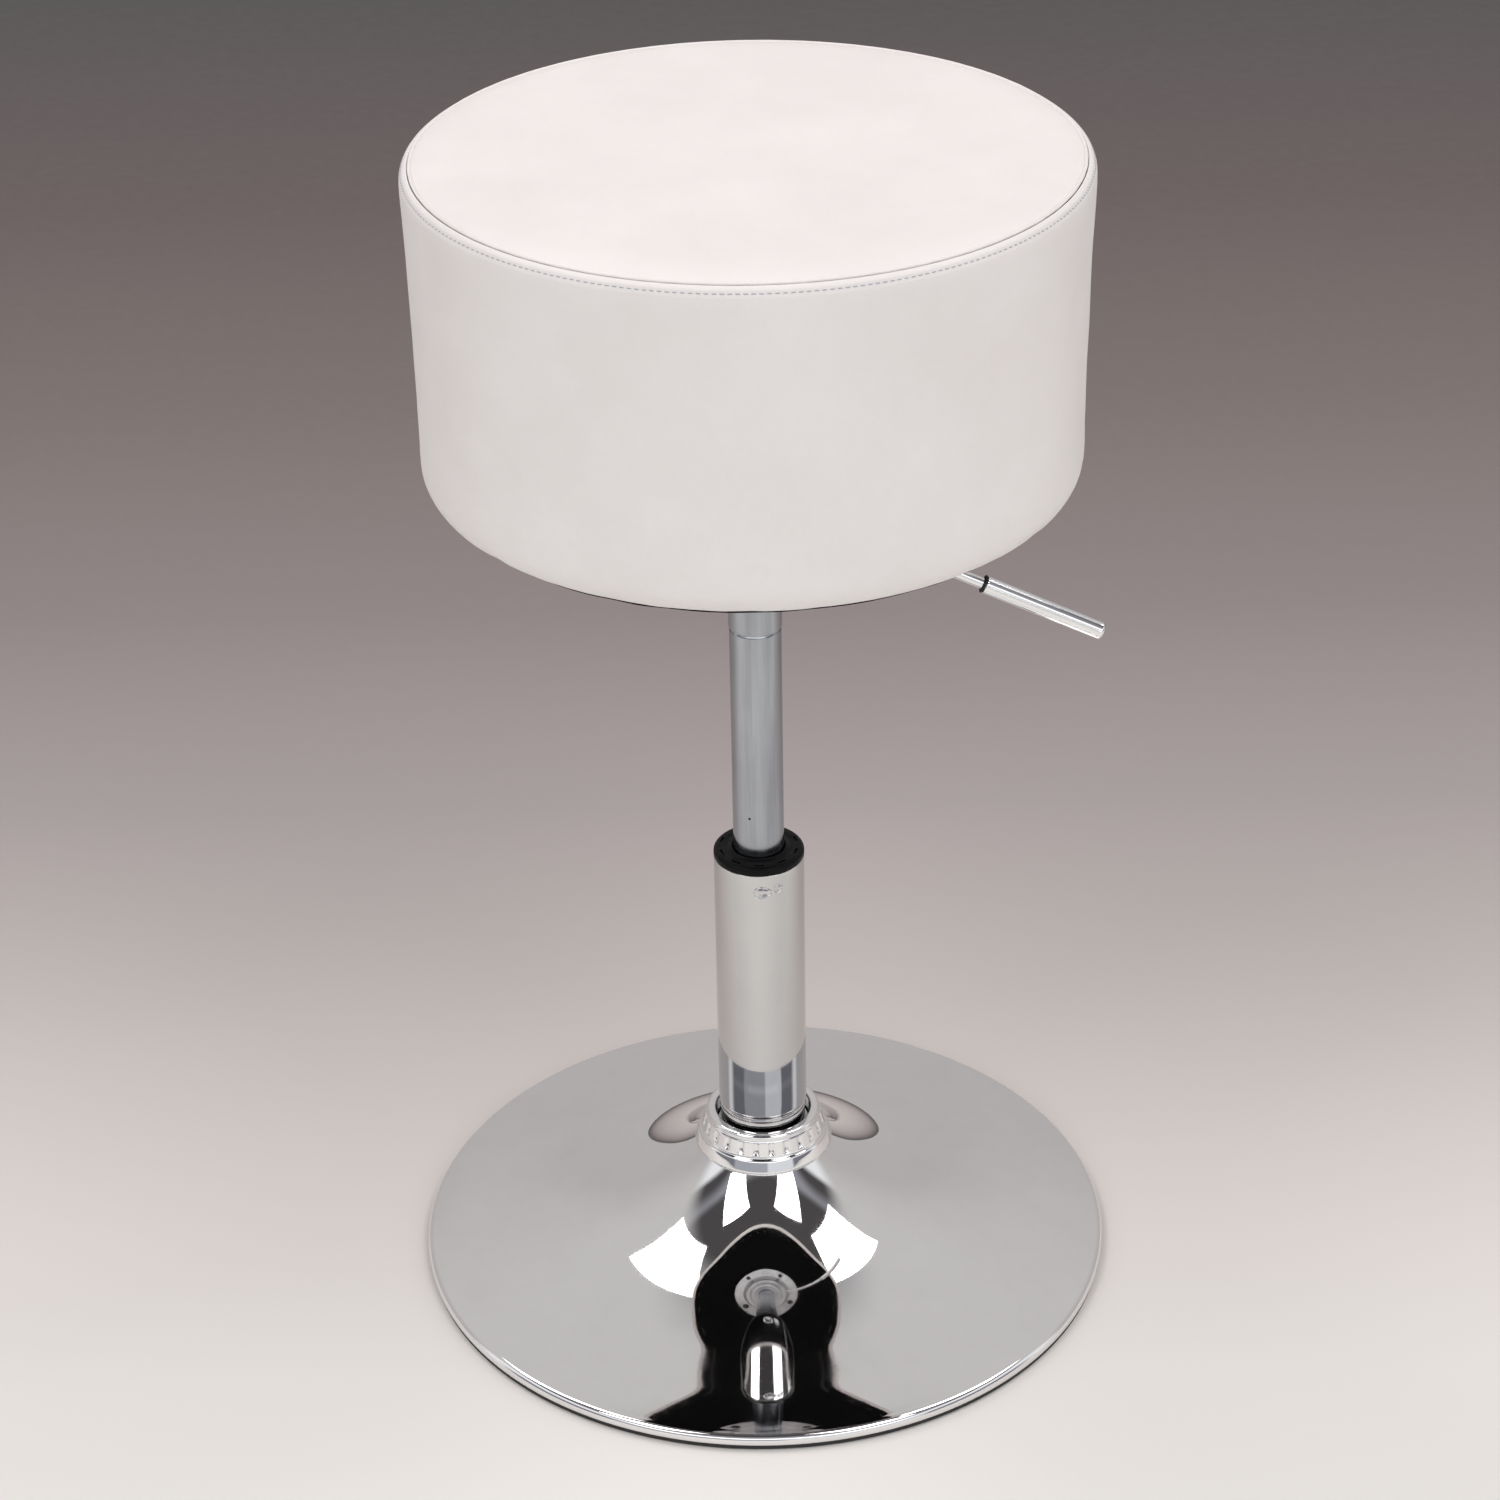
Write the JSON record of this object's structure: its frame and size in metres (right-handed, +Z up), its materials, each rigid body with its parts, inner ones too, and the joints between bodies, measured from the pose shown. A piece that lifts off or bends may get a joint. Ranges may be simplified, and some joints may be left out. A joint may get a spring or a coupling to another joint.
{
  "type": "adjustable swivel stool",
  "caption": "Height-adjustable swivel stool: upholstered drum seat on a lockable gas spring with a side lever, over a round chromed trumpet base.",
  "frame": {"origin": "on the floor, on the column's axis, at the centre of the base's outline", "axes": "+Z up along the column's axis; +X and +Y horizontal, with the release lever drooping outwards over +X, 1.5 degrees towards -Y"},
  "size_m": [0.393, 0.393, 0.6645],
  "materials": {
    "chrome": "polished",
    "satin_steel": "satin",
    "zinc_steel": "satin",
    "black_iron": "matte",
    "black_plastic": "satin",
    "black_rubber": "matte",
    "white_leatherette": "satin",
    "seat_foam": "matte",
    "plywood": "matte",
    "black_nonwoven": "matte"
  },
  "bodies": {
    "base": {"base_shell": "chrome", "floor_ring": "black_rubber", "ballast_ring": "black_iron", "support_plate": "black_iron", "column_socket": "zinc_steel", "base_bolt_1": "zinc_steel", "base_bolt_2": "zinc_steel", "base_bolt_3": "zinc_steel", "base_bolt_4": "zinc_steel", "collar_ring": "chrome", "stand_tube": "chrome", "guide_bush": "black_plastic", "tube_end_disc": "zinc_steel", "lower_race": "satin_steel"},
    "bearing_cage": {"ball_cage": "satin_steel"},
    "swivel": {"piston_rod": "satin_steel", "retaining_clip": "zinc_steel", "clip_washer": "zinc_steel", "upper_race": "satin_steel", "rubber_bumper": "black_rubber", "piston": "black_plastic", "piston_seal": "black_rubber", "piston_nut": "zinc_steel"},
    "lift": {"pressure_tube": "satin_steel", "rod_guide": "black_plastic", "rod_seal": "black_rubber", "valve_body": "zinc_steel", "seat_plate": "zinc_steel", "plate_socket": "satin_steel", "lever_bracket": "zinc_steel", "pivot_pin": "satin_steel", "plate_screw_1": "black_iron", "plate_screw_2": "black_iron", "plate_screw_3": "black_iron", "plate_screw_4": "black_iron", "tee_nut_1": "zinc_steel", "tee_nut_2": "zinc_steel", "tee_nut_3": "zinc_steel", "tee_nut_4": "zinc_steel", "seat_board": "plywood", "foam_core": "seat_foam", "cover_top": "white_leatherette", "cover_side": "white_leatherette", "seam_piping": "white_leatherette", "dust_cover": "black_nonwoven"},
    "valve": {"valve_pin": "satin_steel"},
    "lever": {"lever_rod": "chrome", "lever_grip": "chrome", "grip_ring": "black_rubber"}
  },
  "joints": [
    {"name": "seat_swivel", "type": "hinge", "parent": "base", "child": "swivel", "pos_m": [0, 0, 0.0405], "axis": [0, 0, 1], "continuous": true},
    {"name": "cage_roll", "type": "hinge", "parent": "base", "child": "bearing_cage", "pos_m": [0, 0, 0.0379], "axis": [0, 0, 1], "continuous": true},
    {"name": "height_slide", "type": "slide", "parent": "swivel", "child": "lift", "axis": [0, 0, 1], "range_m": [-0.125, 0]},
    {"name": "release_lever", "type": "hinge", "parent": "lift", "child": "lever", "pos_m": [0.03499, -0.00092, 0.46202], "axis": [-0.0262, -0.9997, 0], "range_deg": [0, 5], "stiffness_Nm_per_rad": 6, "springref_deg": -17.19},
    {"name": "valve_slide", "type": "slide", "parent": "lift", "child": "valve", "axis": [0, 0, 1], "range_m": [-0.0031, 0]}
  ],
  "couplings": [
    {"joint": "cage_roll", "follows": "seat_swivel", "ratio": 0.5},
    {"joint": "valve_slide", "follows": "release_lever", "m_per_rad": -0.0345}
  ]
}
